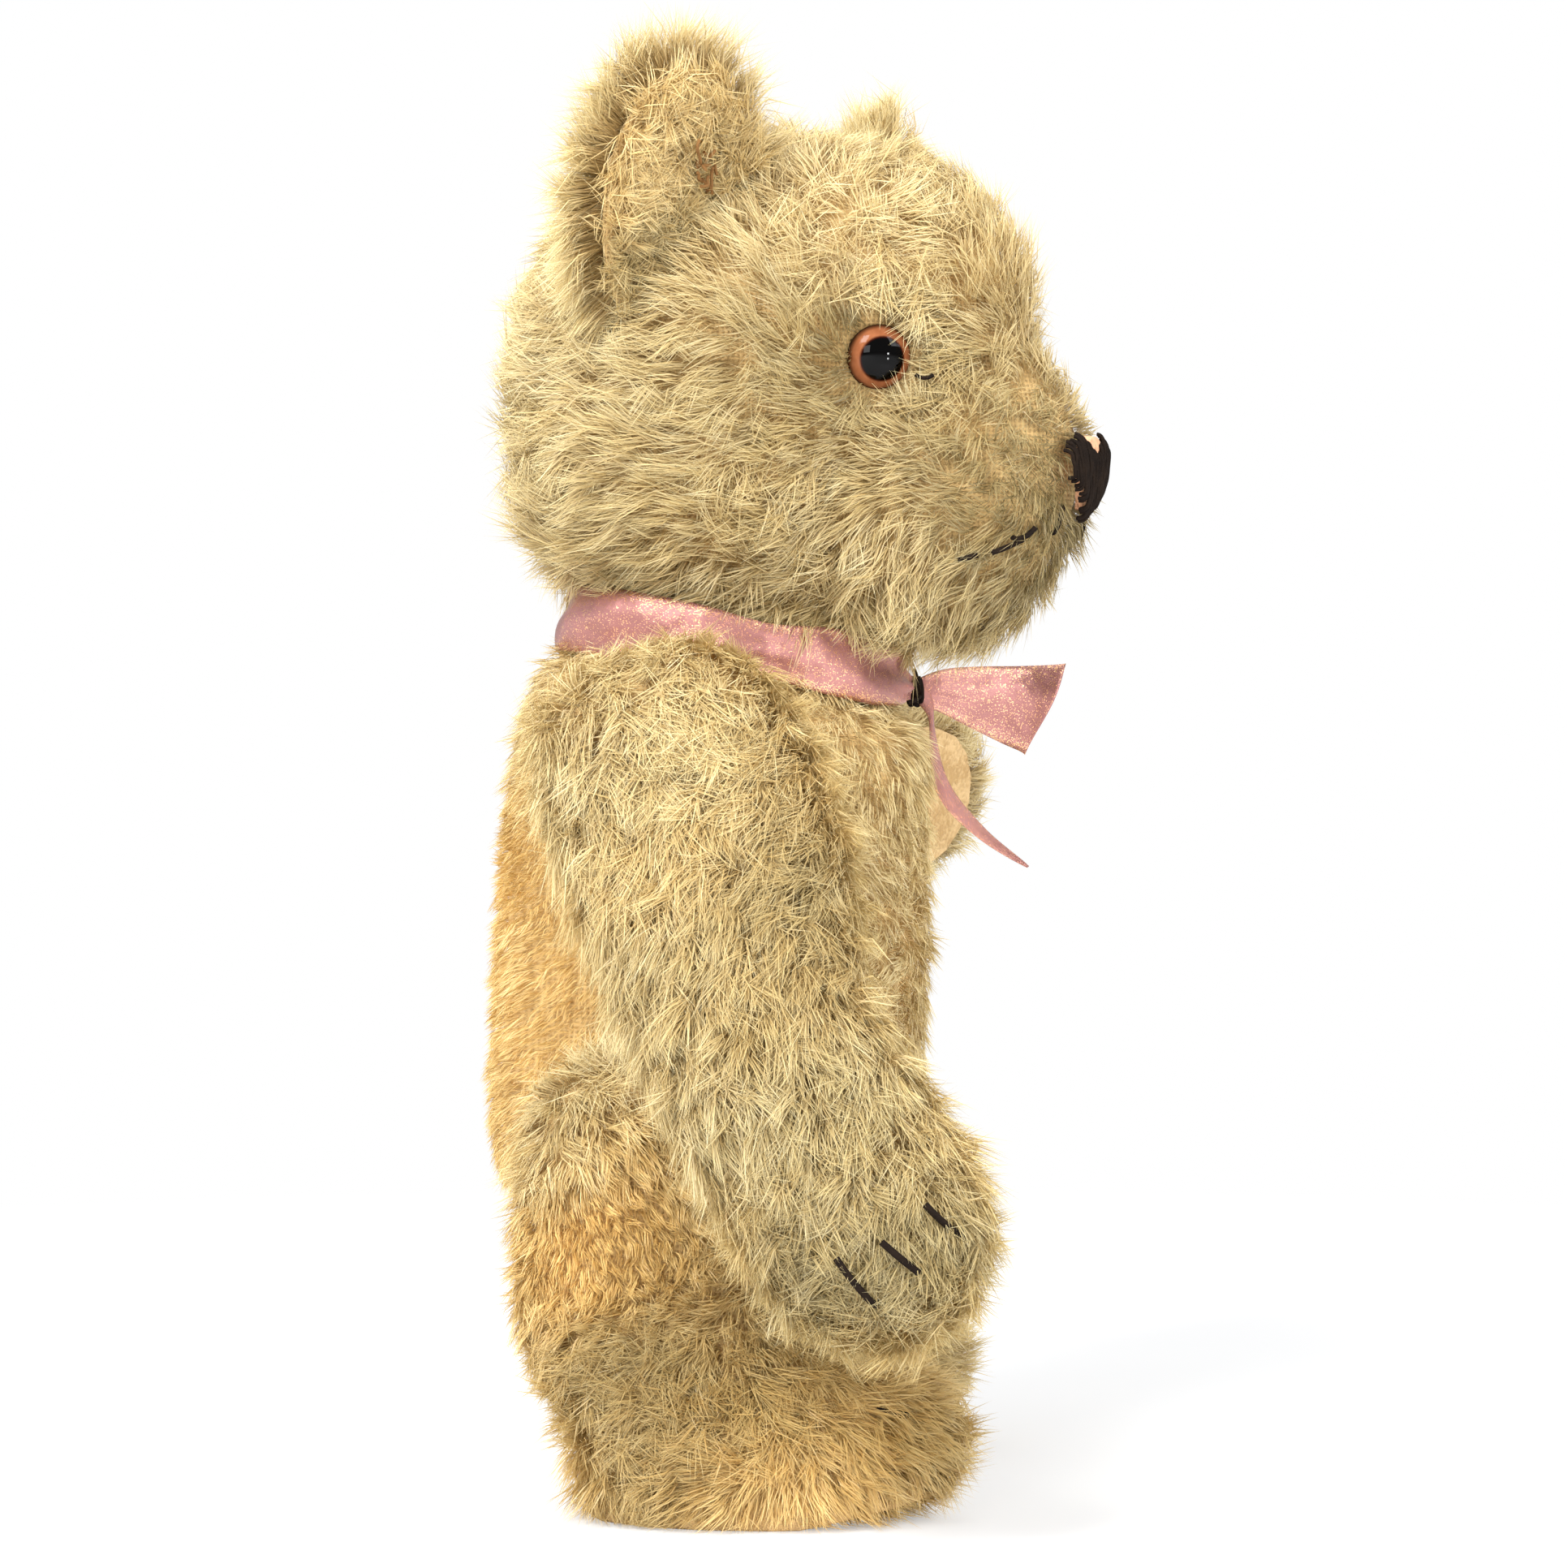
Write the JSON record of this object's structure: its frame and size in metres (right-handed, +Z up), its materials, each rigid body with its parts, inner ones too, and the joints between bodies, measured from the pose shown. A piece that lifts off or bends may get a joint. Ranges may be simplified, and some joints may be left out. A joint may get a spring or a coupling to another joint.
{
  "type": "jointed teddy bear",
  "caption": "Worn golden mohair teddy bear with disc joints at neck, shoulders and hips, glass eyes, felt paws and soles and a tied ribbon.",
  "frame": {"origin": "centre of the object's box, at the floor under the soles", "axes": "+Z up, -Y the way the chest faces, +X the bear's left"},
  "size_m": [0.259, 0.136, 0.2862],
  "materials": {
    "mohair": "worn pile",
    "wood_wool": "packed shavings",
    "felt": "worn felt",
    "hardboard": "plain board",
    "steel": "dull",
    "eye_glass": "polished",
    "black_thread": "stitched",
    "satin": "satin"
  },
  "bodies": {
    "torso": {"knot_thread": "black_thread", "left_arm_split_pin": "steel", "left_arm_torso_disc": "hardboard", "left_arm_torso_washer": "steel", "left_leg_split_pin": "steel", "left_leg_torso_disc": "hardboard", "left_leg_torso_washer": "steel", "neck_ribbon": "satin", "neck_split_pin": "steel", "neck_torso_disc": "hardboard", "neck_torso_washer": "steel", "right_arm_split_pin": "steel", "right_arm_torso_disc": "hardboard", "right_arm_torso_washer": "steel", "right_leg_split_pin": "steel", "right_leg_torso_disc": "hardboard", "right_leg_torso_washer": "steel", "torso_cover": "mohair", "torso_stuffing": "wood_wool"},
    "head": {"head_cover": "mohair", "head_stuffing": "wood_wool", "left_ear": "mohair", "left_eye": "eye_glass", "left_eye_wire": "steel", "mouth_thread": "black_thread", "neck_limb_disc": "hardboard", "neck_limb_washer": "steel", "nose_stitching": "black_thread", "right_ear": "mohair", "right_eye": "eye_glass", "right_eye_wire": "steel"},
    "right_arm": {"right_arm_cover": "mohair", "right_arm_limb_disc": "hardboard", "right_arm_limb_washer": "steel", "right_arm_stuffing": "wood_wool", "right_paw_pad": "felt"},
    "left_arm": {"left_arm_cover": "mohair", "left_arm_limb_disc": "hardboard", "left_arm_limb_washer": "steel", "left_arm_stuffing": "wood_wool", "left_paw_pad": "felt"},
    "right_leg": {"right_leg_cover": "mohair", "right_leg_limb_disc": "hardboard", "right_leg_limb_washer": "steel", "right_leg_stuffing": "wood_wool", "right_sole_pad": "felt"},
    "left_leg": {"left_leg_cover": "mohair", "left_leg_limb_disc": "hardboard", "left_leg_limb_washer": "steel", "left_leg_stuffing": "wood_wool", "left_sole_pad": "felt"}
  },
  "joints": [
    {"name": "neck_turn", "type": "hinge", "parent": "torso", "child": "head", "pos_m": [-0.00986, 0.01644, 0.1705], "axis": [0, -0.1908, 0.9816], "continuous": true},
    {"name": "right_shoulder", "type": "hinge", "parent": "torso", "child": "right_arm", "pos_m": [-0.04843, 0.03844, 0.1455], "axis": [-0.9192, 0.3345, 0.2079], "range_deg": [-45, 60]},
    {"name": "left_shoulder", "type": "hinge", "parent": "torso", "child": "left_arm", "pos_m": [0.02814, 0.02244, 0.1455], "axis": [-0.8295, -0.5183, -0.2079], "range_deg": [-66, 15]},
    {"name": "right_hip", "type": "hinge", "parent": "torso", "child": "right_leg", "pos_m": [-0.04129, 0.04124, 0.0705], "axis": [-0.9781, 0.2079, 0], "range_deg": [-30, 85]},
    {"name": "left_hip", "type": "hinge", "parent": "torso", "child": "left_leg", "pos_m": [0.02553, 0.02024, 0.0705], "axis": [-0.9781, 0.2079, 0], "range_deg": [-30, 85]}
  ]
}
